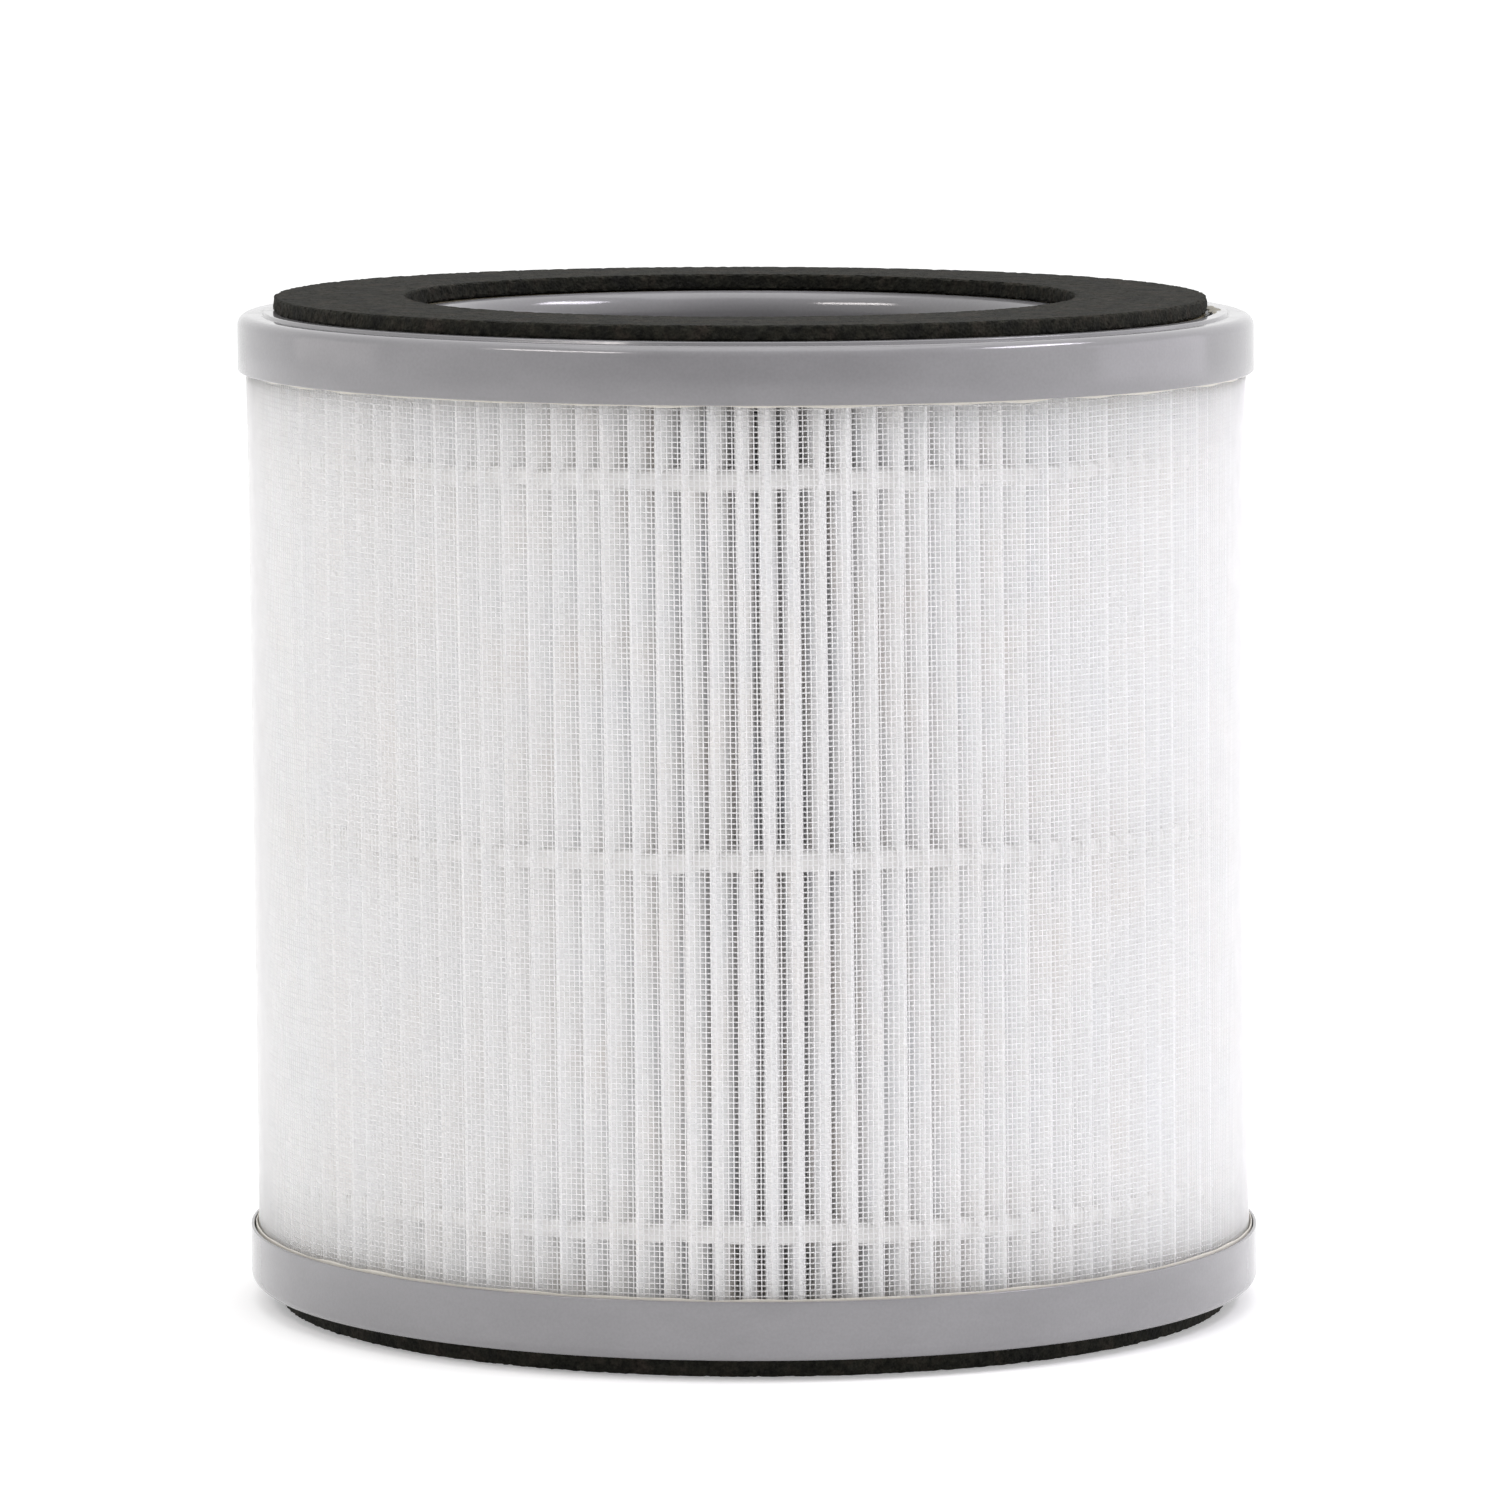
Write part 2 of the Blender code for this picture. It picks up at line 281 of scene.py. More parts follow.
class Shader:
    """A Principled material with short calls for its procedural nodes."""

    def __init__(self, name, colour, roughness, **sockets):
        self.material = bpy.data.materials.new(name)
        self.material.use_nodes = True
        self.nodes = self.material.node_tree.nodes
        self.links = self.material.node_tree.links
        self.principled = self.nodes["Principled BSDF"]
        self.set("Base Color", (*colour, 1.0))
        self.set("Roughness", roughness)
        for socket, value in sockets.items():
            self.set(socket.replace("_", " "), value)
        self.place = self.nodes.new("ShaderNodeTexCoord").outputs["Object"]

    def set(self, socket, value):
        self.principled.inputs[socket].default_value = value

    def let_light_through(self, depth):
        """Make a thin white piece translucent: light wanders depth metres inside it."""
        self.set("Subsurface Weight", 1.0)
        self.set("Subsurface Scale", depth)
        self.set("Subsurface Radius", (1.0, 1.0, 1.0))

    def stretched(self, scale):
        """Object coordinates scaled by a different factor along each axis."""
        mapping = self.nodes.new("ShaderNodeMapping")
        mapping.inputs["Scale"].default_value = scale
        self.links.new(self.place, mapping.inputs["Vector"])
        return mapping.outputs["Vector"]

    def noise(self, size, detail=3.0, roughness=0.5, place=None):
        """Noise whose blotches are about size metres across."""
        node = self.nodes.new("ShaderNodeTexNoise")
        node.inputs["Scale"].default_value = 1.0 / size
        node.inputs["Detail"].default_value = detail
        node.inputs["Roughness"].default_value = roughness
        self.links.new(place or self.place, node.inputs["Vector"])
        return node.outputs["Fac"]

    def cells(self, size, feature="F1", place=None):
        """Distance inside Voronoi cells about size metres across."""
        node = self.nodes.new("ShaderNodeTexVoronoi")
        node.feature = feature
        node.inputs["Scale"].default_value = 1.0 / size
        self.links.new(place or self.place, node.inputs["Vector"])
        return node.outputs["Distance"]

    def ramp(self, source, *stops):
        """Colours over a value: stops are (place, colour)."""
        node = self.nodes.new("ShaderNodeValToRGB")
        elements = node.color_ramp.elements
        for index, (place, colour) in enumerate(stops):
            element = elements[index] if index < 2 else elements.new(place)
            element.position = place
            element.color = (*colour, 1.0)
        self.links.new(source, node.inputs["Fac"])
        return node.outputs["Color"]

    def between(self, source, low, high, from_low=0.3, from_high=0.7):
        """A value mapped into a range."""
        node = self.nodes.new("ShaderNodeMapRange")
        node.inputs["From Min"].default_value = from_low
        node.inputs["From Max"].default_value = from_high
        node.inputs["To Min"].default_value = low
        node.inputs["To Max"].default_value = high
        self.links.new(source, node.inputs["Value"])
        return node.outputs["Result"]

    def multiply(self, first, second):
        """Two colours multiplied."""
        node = self.nodes.new("ShaderNodeMix")
        node.data_type = "RGBA"
        node.blend_type = "MULTIPLY"
        node.inputs["Factor"].default_value = 1.0
        self.links.new(first, node.inputs["A"])
        self.links.new(second, node.inputs["B"])
        return node.outputs["Result"]

    def drive(self, socket, source):
        self.links.new(source, self.principled.inputs[socket])

    def bump(self, source, depth, strength=1.0):
        """Add a bump of depth metres on top of the bumps made so far."""
        node = self.nodes.new("ShaderNodeBump")
        node.inputs["Distance"].default_value = depth
        node.inputs["Strength"].default_value = strength
        self.links.new(source, node.inputs["Height"])
        earlier = self.principled.inputs["Normal"].links
        if earlier:
            self.links.new(earlier[0].from_socket, node.inputs["Normal"])
        self.links.new(node.outputs["Normal"], self.principled.inputs["Normal"])


def tinted(colour, factor):
    """A colour made lighter or darker by a factor."""
    return tuple(channel * factor for channel in colour)


def cap_plastic():
    """Grey moulded plastic: faint flow marks, fine grain, satin gloss that varies."""
    grey = (0.226, 0.223, 0.232)
    shader = Shader("cap_plastic", grey, 0.14, Specular_IOR_Level=0.85)
    flow = shader.noise(22 * MM, 4.0, 0.55, shader.stretched((1.0, 1.0, 2.5)))
    speck = shader.noise(0.5 * MM, 2.0)
    colour = shader.ramp(flow, (0.3, tinted(grey, 0.93)), (0.7, tinted(grey, 1.07)))
    specks = shader.ramp(speck, (0.3, (0.94, 0.94, 0.94)), (0.65, (1.0, 1.0, 1.0)))
    shader.drive("Base Color", shader.multiply(colour, specks))
    shader.drive("Roughness", shader.between(shader.noise(6 * MM, 2.0), 0.11, 0.16))
    shader.bump(shader.noise(0.35 * MM, 2.0), 0.012 * MM, 0.5)
    shader.bump(shader.noise(14 * MM, 1.0), 0.05 * MM, 0.3)
    return shader.material


def gasket_foam():
    """Black foam: pores, coarse grain, and an uneven olive-brown bloom."""
    black = (0.010, 0.010, 0.0085)
    shader = Shader("gasket_foam", black, 0.95, Specular_IOR_Level=0.2)
    pores = shader.cells(0.55 * MM)
    fine = shader.noise(0.25 * MM, 3.0, 0.7)
    grain = shader.noise(1.1 * MM, 4.0, 0.75)
    bloom = shader.noise(5 * MM, 5.0, 0.65)
    tint = shader.ramp(
        bloom, (0.35, black), (0.5, (0.017, 0.017, 0.0125)), (0.68, (0.028, 0.023, 0.018))
    )
    speckle = shader.ramp(grain, (0.36, (0.4, 0.4, 0.4)), (0.64, (1.6, 1.6, 1.6)))
    shader.drive("Base Color", shader.multiply(tint, speckle))
    shader.drive("Roughness", shader.between(fine, 0.8, 1.0))
    shader.bump(shader.noise(3.5 * MM, 4.0, 0.6), 0.30 * MM)
    shader.bump(pores, 0.20 * MM)
    shader.bump(fine, 0.10 * MM)
    return shader.material


def adhesive_tape():
    """Yellow-brown adhesive that has oozed and picked up dust."""
    brown = (0.19, 0.16, 0.09)
    shader = Shader("adhesive_tape", brown, 0.4)
    patches = shader.noise(1.2 * MM, 4.0, 0.6)
    shader.drive("Base Color", shader.ramp(patches, (0.3, tinted(brown, 0.5)), (0.7, brown)))
    shader.drive("Roughness", shader.between(patches, 0.25, 0.6))
    shader.bump(shader.noise(0.6 * MM, 3.0), 0.06 * MM)
    return shader.material


def hot_melt(name, colour):
    """Hot-melt glue: waxy, slightly milky, smooth with shallow ripples."""
    shader = Shader(name, colour, 0.35)
    milky = shader.noise(3 * MM, 3.0)
    shader.drive(
        "Base Color", shader.ramp(milky, (0.3, tinted(colour, 0.93)), (0.7, colour))
    )
    shader.drive("Roughness", shader.between(shader.noise(1.5 * MM), 0.25, 0.5))
    shader.bump(shader.noise(1.1 * MM, 2.0), 0.08 * MM, 0.7)
    return shader.material


def filter_paper():
    """White glass-fibre paper: fine matted fibres, soft creases, warm and cool patches."""
    white = (0.965, 0.965, 0.965)
    shader = Shader("filter_paper", white, 0.92, Specular_IOR_Level=0.3)
    patches = shader.noise(9 * MM, 3.0, 0.6)
    fibres = shader.noise(0.5 * MM, 5.0, 0.75, shader.stretched((1.0, 1.0, 0.35)))
    tint = shader.ramp(
        patches, (0.3, (0.965, 0.953, 0.944)), (0.5, white), (0.72, (0.954, 0.958, 0.966))
    )
    shade = shader.ramp(fibres, (0.3, (0.98, 0.98, 0.98)), (0.65, (1.0, 1.0, 1.0)))
    shader.drive("Base Color", shader.multiply(tint, shade))
    shader.drive("Roughness", shader.between(fibres, 0.82, 1.0))
    shader.bump(fibres, 0.05 * MM, 0.8)
    shader.bump(shader.noise(2.5 * MM, 3.0), 0.12 * MM, 0.4)
    return shader.material


def net_thread(name, colour, roughness):
    """Plastic thread with a twist along it and small differences from place to place."""
    shader = Shader(name, colour, roughness, Specular_IOR_Level=0.45)
    if colour[0] > 0.5:
        shader.let_light_through(0.6 * MM)
    patches = shader.noise(5 * MM, 3.0)
    twist = shader.noise(0.3 * MM, 2.0)
    shader.drive(
        "Base Color", shader.ramp(patches, (0.3, tinted(colour, 0.94)), (0.7, colour))
    )
    shader.drive("Roughness", shader.between(twist, roughness - 0.1, roughness + 0.15))
    shader.bump(twist, 0.03 * MM, 0.6)
    return shader.material


def carbon_granules():
    """Carbon granules: matte black with greyer broken faces."""
    black = (0.016, 0.016, 0.017)
    shader = Shader("carbon_granules", black, 0.75)
    faces = shader.cells(1.1 * MM)
    shader.drive(
        "Base Color", shader.ramp(faces, (0.1, black), (0.6, (0.055, 0.055, 0.058)))
    )
    shader.drive("Roughness", shader.between(shader.noise(0.8 * MM), 0.5, 0.95))
    shader.bump(shader.noise(0.3 * MM, 4.0, 0.7), 0.08 * MM)
    return shader.material


def core_plastic():
    """Dark grey moulded plastic of the lattice tube."""
    grey = (0.135, 0.14, 0.152)
    shader = Shader("core_plastic", grey, 0.42)
    flow = shader.noise(14 * MM, 4.0)
    shader.drive(
        "Base Color", shader.ramp(flow, (0.3, tinted(grey, 0.88)), (0.7, tinted(grey, 1.1)))
    )
    shader.drive("Roughness", shader.between(shader.noise(4 * MM, 4.0), 0.34, 0.52))
    shader.bump(shader.noise(0.4 * MM, 2.0), 0.015 * MM, 0.6)
    return shader.material


def studio_floor():
    """White acrylic shooting table whose top glows a little, painted light from below, more
    towards the back.
    """
    white = (0.90, 0.90, 0.90)
    shader = Shader("studio_floor", white, 0.9, Specular_IOR_Level=0.1)
    shader.set("Emission Color", (1.0, 1.0, 1.0, 1.0))
    split = shader.nodes.new("ShaderNodeSeparateXYZ")
    shader.links.new(shader.place, split.inputs[0])
    # No glow a metre in front of the cartridge, and all of it from 0.3 m behind.
    glow = shader.between(split.outputs["Y"], 0.0, 0.34, -1.0, 0.3)
    shader.drive("Emission Strength", glow)
    cloud = shader.noise(0.6, 2.0)
    shader.drive("Base Color", shader.ramp(cloud, (0.3, white), (0.7, (0.92, 0.92, 0.92))))
    return shader.material


# ---------------------------------------------------------------- end caps and seals


def inward(outline, place, node):
    """Turn depths below a cap's outer face into heights at its own end."""
    low, high = heights(node)
    if place == "top":
        return [(r, high - depth, *rest) for r, depth, *rest in outline]
    return [(r, low + depth, *rest) for r, depth, *rest in outline]


def make_end_cap(place, material):
    """Cap with a rounded rim, a fine groove inside it, a foam seat and a lipped bore."""
    node = f"{place}_end_cap"
    bore, outer = radii(node)
    low, high = heights(node)
    height = high - low
    seat = radii(f"{place}_foam_gasket")[1] + 0.3 * MM
    skirt_inner = outer - SKIRT_WALL
    collar_outer = bore + COLLAR_WALL
    lip = radii(f"{place}_foam_gasket")[0] - 0.35 * MM
    if place == "top":
        plate, crest = 0.0, 0.45 * MM
    else:
        plate, crest = 0.15 * MM, 0.0
    groove = max(plate, crest) + 0.12 * MM
    corners = [
        (outer, height, 0.25 * MM),
        (outer, crest, 3.1 * MM),
        (outer - 3.9 * MM, crest, 0.10 * MM),
        (outer - 4.2 * MM, groove, 0.05 * MM),
        (outer - 4.4 * MM, groove, 0.05 * MM),
        (outer - 4.6 * MM, plate, 0.30 * MM),
        (seat + 0.25 * MM, plate, 0.1 * MM),
        (seat, SEAT_DEPTH, 0.1 * MM),
        (lip, SEAT_DEPTH, 0.1 * MM),
    ]
    # The lip is a quarter of an ellipse that runs into the bore.
    for turn in np.radians(np.arange(0.0, 91.0, 7.5)):
        inwards = (lip - bore) * math.sin(turn)
        down = 0.35 * MM + 3.8 * MM * (1.0 - math.cos(turn))
        corners.append((lip - inwards, down, 0.0))
    corners += [
        (bore, COLLAR_DEPTH, 0.4 * MM),
        (collar_outer, COLLAR_DEPTH, 0.3 * MM),
        (collar_outer, PLATE_THICKNESS, 0.3 * MM),
        (skirt_inner, PLATE_THICKNESS, 0.4 * MM),
        (skirt_inner, height, 0.2 * MM),
    ]
    outline = filleted(inward(corners, place, node), 6)
    warp = waves(31 + END_SEED[place], 4, 5)

    def change(angle, r, z):
        return r + 0.04 * MM * warp(angle), z

    turned(f"{place}_cap", outline, 360, material, [node], change)


def make_gasket(place, material):
    """Foam ring with porous faces and slightly ragged edges."""
    node = f"{place}_foam_gasket"
    inner, outer = radii(node)
    low, high = heights(node)
    edge = 0.55 * MM
    corners = section_corners(inner, outer, low, high, edge, edge)
    outline = subdivided(filleted(corners, 4), 0.8 * MM)
    sides = 900
    draw = np.random.RandomState(41 + END_SEED[place])
    rough = draw.normal(0, 0.06 * MM, (sides, len(outline)))
    rough = rough + np.roll(rough, 1, 0) * 0.7 + np.roll(rough, 1, 1) * 0.5
    rough = rough.clip(-0.18 * MM, 0.18 * MM)
    drift = waves(43 + END_SEED[place], 5, 7)
    middle = (inner + outer) / 2

    def change(angle, r, z):
        sideways = np.where(r > middle, 1.0, -1.0)
        r = r + rough * sideways + 0.10 * MM * drift(angle)
        upward = np.where(z > (low + high) / 2, 1.0, -1.0)
        z = z + rough * upward * 0.7
        # Nothing stands out beyond the plane of the face that seals.
        return r, np.maximum(z, low) if place == "bottom" else np.minimum(z, high)

    shift = (TOP_GASKET_SHIFT, 0, 0) if place == "top" else (0, 0, 0)
    piece = turned(
        f"{place}_gasket", outline, sides, material, [node], change, shift
    )


def make_tape(place, material):
    """Adhesive ring under the foam; the upper one has squeezed out in one spot."""
    node = f"{place}_gasket_tape"
    inner, outer = radii(node)
    low, high = heights(node)
    inner += 0.8 * MM
    outer -= 0.5 * MM
    corners = section_corners(inner, outer, low, high, 0.05 * MM, 0.05 * MM)
    outline = filleted(corners, 2)
    ragged = waves(51 + END_SEED[place], 9, 40)

    def change(angle, r, z):
        far = np.where(r > (inner + outer) / 2, 1.0, 0.0)
        return r + far * 0.12 * MM * ragged(angle), z

    turned(f"{place}_tape", outline, 360, material, [node], change)
    if place == "top":
        make_smear(outer, material)


def make_smear(outer, material):
    """Squeezed-out adhesive on the cap, just outside the upper foam ring."""
    across = 40
    shares = np.array([1.0, 0.85, 0.5, 0.2, 0.02])
    levels = np.array([0.0, 0.10, 0.17, 0.20, 0.20]) * MM
    face = heights("top_end_cap")[1]
    centre_angle = math.radians(1.0)
    spread = math.radians(7.0)
    turn_steps = np.linspace(0, TURN, across, endpoint=False)
    ragged = waves(53, 6, 6)(turn_steps) * 0.15 + 1.0
    top = []
    for share, level in zip(shares, levels):
        angle = centre_angle + spread * share * np.cos(turn_steps) * ragged
        r = outer + 1.3 * MM + 1.2 * MM * share * np.sin(turn_steps) * ragged
        top.append(about_axis(r, angle, face + level))
    bottom = [np.array(ring) for ring in top]
    for ring in bottom:
        ring[:, 2] = face - 0.15 * MM
    loop = np.stack(top + bottom[::-1], axis=1)
    add_piece(
        "tape_smear", loop, grid_faces(across, 2 * len(shares), True), material
    )


def make_potting(place, material):
    """Glue disc in the cap, with the uneven lip that shows past the skirt."""
    node = f"{place}_potting"
    inner, outer = radii(node)
    low, high = heights(node)
    lip = 0.2 * MM
    disc = 2.5 * MM
    height = high - low
    corners = [
        (outer, 0.0, 0.1 * MM),
        (inner, 0.0, 0.2 * MM),
        (inner, disc, 0.5 * MM),
        (outer - lip, disc, 0.2 * MM),
        (outer - lip, height, 0.08 * MM),
        (outer, height, 0.08 * MM),
    ]
    outline = filleted(inward(corners, place, node), 4)
    squeeze = waves(61 + END_SEED[place], 10, 46)
    direction = -1.0 if place == "top" else 1.0
    lip_end = low if place == "top" else high

    def change(angle, r, z):
        near_lip = np.clip(1.0 - np.abs(z - lip_end) / MM, 0.0, 1.0)
        grow = 0.10 * MM * squeeze(angle) * near_lip
        return r, z + direction * (grow - 0.2 * MM * near_lip)

    turned(f"{place}_glue", outline, 480, material, [node], change)


# ---------------------------------------------------------------- paper and glue beads


def pleat_layout():
    """Tip angles, gap angles and tip radii of all pleats, slightly uneven."""
    draw = np.random.RandomState(7)
    pitch = TURN / PLEATS
    tips = (np.arange(PLEATS) + draw.normal(0, 0.035, PLEATS).clip(-0.08, 0.08)) * pitch
    tips += FIRST_PLEAT
    following = np.roll(tips, -1)
    following[-1] += TURN
    gaps = (tips + following) / 2 + PLEAT_LEAN
    gaps += draw.normal(0, 0.03, PLEATS).clip(-0.08, 0.08) * pitch
    return tips, gaps


def at_angle(angle, outwards, sideways):
    """Points outwards from the axis along an angle, then moved sideways."""
    x = outwards * np.cos(angle) - sideways * np.sin(angle)
    y = outwards * np.sin(angle) + sideways * np.cos(angle)
    return np.stack([x, y], axis=-1)


def fold_section(inwards):
    """Depths and sideways distances over one fold, with its surface moved inwards."""
    half = np.array(FOLD_SECTION) * MM
    section = np.concatenate([half[:0:-1] * (1, -1), half])
    along = np.gradient(section, axis=0)
    along /= np.linalg.norm(along, axis=1, keepdims=True)
    normal = np.stack([along[:, 1], -along[:, 0]], axis=1)
    moved = section + normal * inwards
    return moved[:, 0], moved[:, 1]


def paper_surface(offset, root_radius, tip_radius, levels):
    """Points (around, levels, 2) of the paper's outer face, moved offset inwards."""
    tips, gaps = pleat_layout()
    draw = np.random.RandomState(8)
    phase = draw.uniform(0, TURN, (4, PLEATS, 1))
    tip_out = (tip_radius - draw.uniform(0, 0.25, PLEATS) * MM)[:, None]
    root_centre = root_radius + PAPER_THICKNESS + PLEAT_ROOT_ROUNDING
    rounding = PLEAT_ROOT_ROUNDING + offset
    sweep = np.radians([-84.0, -42.0, 0.0, 42.0, 84.0])
    depth, aside = fold_section(offset)
    rings = []
    for share in np.linspace(0, 1, levels):
        sway = 0.08 * MM * np.sin(5.0 * share + phase[0])
        sway += 0.04 * MM * np.sin(13.0 * share + phase[1])
        tip_angle = tips[:, None] + sway / tip_radius
        lean = 0.20 * MM * np.sin(4.0 * share + phase[2])
        gap_angle = gaps[:, None] + lean / root_radius
        before = np.roll(gap_angle, 1, axis=0)
        before[0] -= TURN
        middle = (gap_angle + before) / 2
        deeper = depth / (tip_radius - root_centre)
        angle = tip_angle + (middle - tip_angle) * deeper
        bulge = 1.0 + 0.07 * np.sin(9.0 * share + phase[3])
        fold = at_angle(angle, tip_out - depth, aside * bulge)
        root_out = root_centre - rounding * np.cos(sweep)
        root = at_angle(gap_angle, root_out, rounding * np.sin(sweep))
        rings.append(np.concatenate([fold, root], axis=1).reshape(-1, 2))
    return np.stack(rings, axis=1)


def make_paper(material):
    """The folded paper: creased, bulging folds that sway and nearly touch the net."""
    node = "pleated_media"
    low, high = heights(node)
    tip_radius = radii("outer_net_sleeve")[0] - 0.10 * MM
    levels = 30
    surfaces = [
        paper_surface(offset, radii(node)[0], tip_radius, levels)
        for offset in (0.0, PAPER_THICKNESS)
    ]
    around = surfaces[0].shape[0]
    z = np.broadcast_to(np.linspace(low, high, levels)[None, :, None], (around, levels, 1))
    outer, inner = (np.concatenate([surface, z], axis=-1) for surface in surfaces)
    loop = np.concatenate([outer, inner[:, ::-1]], axis=1)
    faces = grid_faces(around, 2 * levels, True)
    piece = add_piece(
        "folded_paper", loop, faces, material, [node], sharp=80.0
    )


def make_bead(side, place, material):
    """One glue bead: it fills the gaps between the folds and swells beside each fold."""
    node = f"{side}_glue_bead_{place}"
    low, high = heights(node)
    seed = BEAD_SEED[side] + BEAD_SEED[place]
    if side == "outer":
        crest = radii("outer_net_sleeve")[0] - 1.4 * MM
        floor = crest - 10.0 * MM
    else:
        floor = radii(node)[0]
        crest = floor + 9.0 * MM
    corners = section_corners(floor, crest, low, high, 0.3 * MM, 1.0 * MM)
    outline = filleted(corners, 3)
    sides = PLEATS * 8
    draw = np.random.RandomState(seed)
    lumps = draw.uniform(-1, 1, PLEATS)
    heights_off = draw.normal(0, 0.22 * MM, PLEATS).clip(-0.5 * MM, 0.5 * MM)
    slow = waves(seed + 100, 5, 9)
    middle = (low + high) / 2
    sag = BEAD_SAG[place]
    outward = 1.0 if side == "outer" else 0.0

    def change(angle, r, z):
        place_in = (angle / TURN * PLEATS) % 1.0
        pleat = np.floor(angle / TURN * PLEATS).astype(int) % PLEATS
        hollow = np.sin(math.pi * place_in) ** 2
        fullness = 0.20 + 0.25 * lumps[pleat]
        near_crest = np.clip((r - (crest - 2.5 * MM)) / (2.5 * MM), 0, 1) * outward
        r = r - hollow * fullness * MM * near_crest
        squeeze = 1.1 + 0.15 * lumps[pleat] * hollow
        shift = (heights_off[pleat] * hollow) + 0.12 * MM * slow(angle) - sag
        return r, middle + (z - middle) * squeeze + shift

    points = turned_points(outline, sides, change)
    first_tip = Matrix.Rotation(pleat_layout()[0][0], 3, "Z")
    points = points @ np.array(first_tip).T
    faces = grid_faces(sides, len(outline), True)
    add_piece(f"{side}_bead_{place}", points, faces, material, [node], 60.0)


def make_media_seam(material):
    """Folded-over strip that joins the two ends of the paper, inside a rear fold."""
    node = "media_seam_strip"
    low, high = heights(node)
    inner, outer = radii(node)
    tips, gaps = pleat_layout()
    away = (gaps - math.pi / 2 + math.pi) % TURN - math.pi
    index = int(np.argmin(np.abs(away)))
    outer_angle = (tips[index] + tips[(index + 1) % PLEATS]) / 2
    corners = section_corners(inner, outer, -0.3 * MM, 0.3 * MM, 0.1 * MM, 0.25 * MM)
    outline = subdivided(filleted(corners, 3), 2.0 * MM)
    levels = 40
    z = np.linspace(low, high, levels)
    root = radii("pleated_media")[0] + PAPER_THICKNESS + PLEAT_ROOT_ROUNDING
    share = (outline[:, 0] - root) / (outer - root)
    angle = gaps[index] + (outer_angle - gaps[index]) * share
    wave = 0.15 * MM * np.sin(z / (high - low) * 9.0)
    aside = outline[:, 1][:, None] + wave[None, :]
    r = np.broadcast_to(outline[:, 0][:, None], aside.shape)
    points = about_axis(r, angle[:, None] + aside / r, z)
    add_capped(f"{node}_sewn", points, material, [node])


def add_capped(name, bar, material, nodes):
    """A bar, which is a grid (around, along, 3) closed around and capped at its two ends."""
    around, along = bar.shape[:2]
    rows = np.arange(around) * along
    pairs = np.arange(around // 2 - 1)
    low_cap = np.stack(
        [rows[pairs], rows[pairs + 1], rows[around - 2 - pairs], rows[around - 1 - pairs]],
        axis=-1,
    )
    body = grid_faces(around, along, False)
    faces = np.concatenate([body, low_cap[:, ::-1], low_cap + along - 1])
    add_piece(name, bar, faces, material, nodes, 50.0)


# ---------------------------------------------------------------- nets


def net_sway(angle, z, size, seed):
    """Small smooth shifts (sideways, upwards) that make a net look hand-fitted."""
    first = waves(seed, 4, 9)
    second = waves(seed + 1, 4, 11)
    wavelength = 0.16
    up = z / wavelength * TURN
    sideways = size * np.sin(up * 0.8 + first(angle)) * 0.7
    upwards = size * (0.6 * second(angle) + 0.4 * np.sin(up * 1.7 + 2.0 * first(angle)))
    return sideways, upwards


def repeated(faces, count):
    """The faces of one thread, again for each of count threads."""
    starts = np.arange(count) * (faces.max() + 1)
    return (faces[None] + starts[:, None, None]).reshape(-1, 4)


def net_rings(node, thread, corners, sway, seed):
    """Points and faces of a net's rings, which are polygons with the corners given."""
    outer = radii(node)[1]
    low, high = heights(node)
    pitch, width, thickness = thread
    count = int((high - low) / pitch)
    ring_z = low + (np.arange(count) + 0.5) * (high - low) / count
    angle = corners[:, None, None]
    z = ring_z[None, :, None]
    _, lift = net_sway(angle, z, sway, seed)
    r = outer - 1.45 * thickness + THREAD_EDGES[:, 0] * thickness
    height = np.clip(z + lift, low, high) + THREAD_EDGES[:, 1] * width
    points = about_axis(r, angle, height).transpose(1, 0, 2, 3).reshape(-1, 3)
    return points, repeated(grid_faces(len(corners), 4, True), count)


def net_uprights(node, thread, sway, seed):
    """Points and faces of a net's upright threads, closed at both ends."""
    outer = radii(node)[1]
    low, high = heights(node)
    pitch, width, thickness = thread
    count = int(round(TURN * outer / pitch))
    radius = outer - 0.5 * thickness
    levels = 7
    angle = (np.arange(count) * TURN / count)[:, None, None]
    z = np.linspace(low, high, levels)[None, :, None]
    aside, _ = net_sway(angle, z, sway, seed)
    across = angle + (aside + THREAD_EDGES[:, 1] * width) / radius
    r = radius + THREAD_EDGES[:, 0] * thickness
    points = about_axis(r, across, z).transpose(0, 2, 1, 3).reshape(-1, 3)
    sides = grid_faces(4, levels, False)
    end = np.array([[0, 3 * levels, 2 * levels, levels]])
    one = np.concatenate([sides, end, end[:, ::-1] + levels - 1])
    return points, repeated(one, count)


def make_net(name, node, thread, corners, material, sway, seed):
    """A square net; thread is (pitch, width, thickness)."""
    ring_points, ring_faces = net_rings(node, thread, corners, sway, seed)
    upright_points, upright_faces = net_uprights(node, thread, sway, seed)
    ring_faces = outward_faces(ring_points, ring_faces)
    upright_faces = outward_faces(upright_points, upright_faces)
    points = np.concatenate([ring_points, upright_points])
    faces = np.concatenate([ring_faces, upright_faces + len(ring_points)])
    add_piece(name, points, faces, material, [node], 180.0)


def make_net_seam(material):
    """Welded overlap of the net at the rear, with its pattern of weld dents."""
    node = "outer_net_seam"
    low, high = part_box(node)
    radius = high.y
    thickness = high.y - low.y
    columns, rows = 31, 420
    x = np.linspace(low.x, high.x, columns)[:, None]
    z = np.linspace(low.z, high.z, rows)[None, :]
    dent = np.cos(x / (1.2 * MM) * TURN) * np.cos(z / (1.6 * MM) * TURN)
    dent = np.clip(dent - 0.1, 0, 1) * 0.5 * thickness
    angle = math.pi / 2 - x / radius
    front = about_axis(radius - dent, angle, z)
    back = about_axis(radius - thickness, angle, z)
    add_capped("net_seam", np.concatenate([front, back[::-1]]), material, [node])


# ---------------------------------------------------------------- core and carbon


